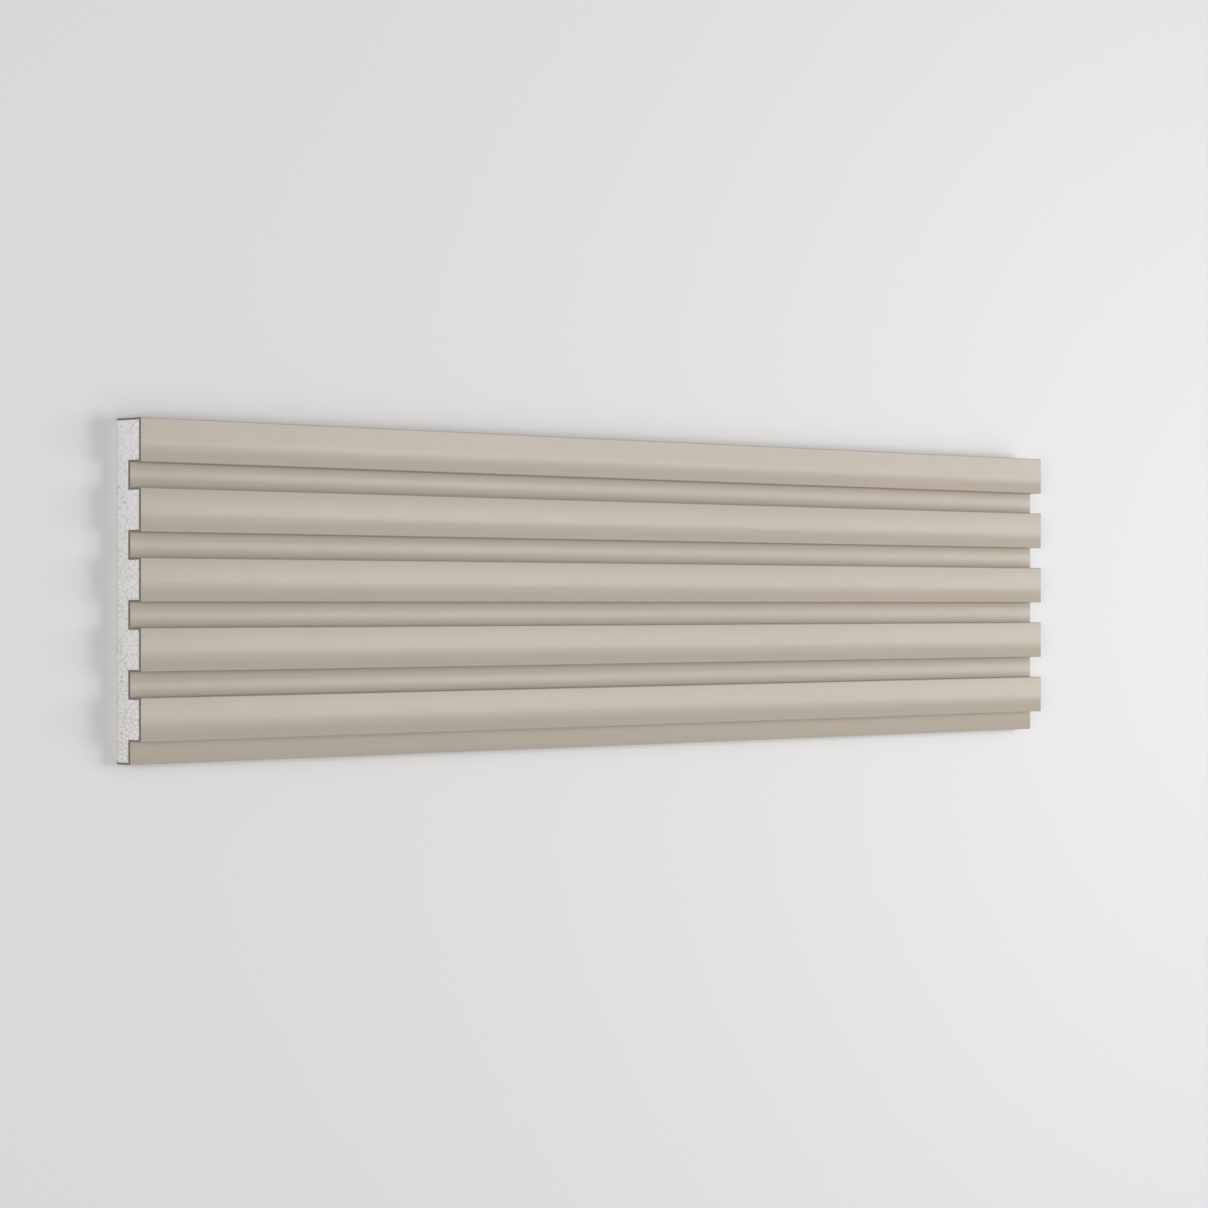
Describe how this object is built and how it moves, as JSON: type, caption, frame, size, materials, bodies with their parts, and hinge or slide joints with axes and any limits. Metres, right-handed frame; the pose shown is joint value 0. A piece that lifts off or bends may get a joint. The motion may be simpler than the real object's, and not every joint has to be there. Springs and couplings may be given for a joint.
{
  "type": "grooved polystyrene wall panel",
  "caption": "Long foam wall panel with square ribs, grooves and a lower lip, under a hard beige coat on its face and long edges, glued on to clad a wall.",
  "frame": {"origin": "middle of the back, on the plane the panel is glued by", "axes": "+X along the ribs, +Y across them from the lip to the first rib, +Z out of the coated face"},
  "size_m": [1, 0.24, 0.027],
  "materials": {
    "foam": "matt white bead foam, sawn",
    "coat": "satin beige mineral coat, grey-brown where it is cut"
  },
  "bodies": {
    "root": {"foam_core": "foam", "mineral_coat": "coat"}
  },
  "joints": []
}
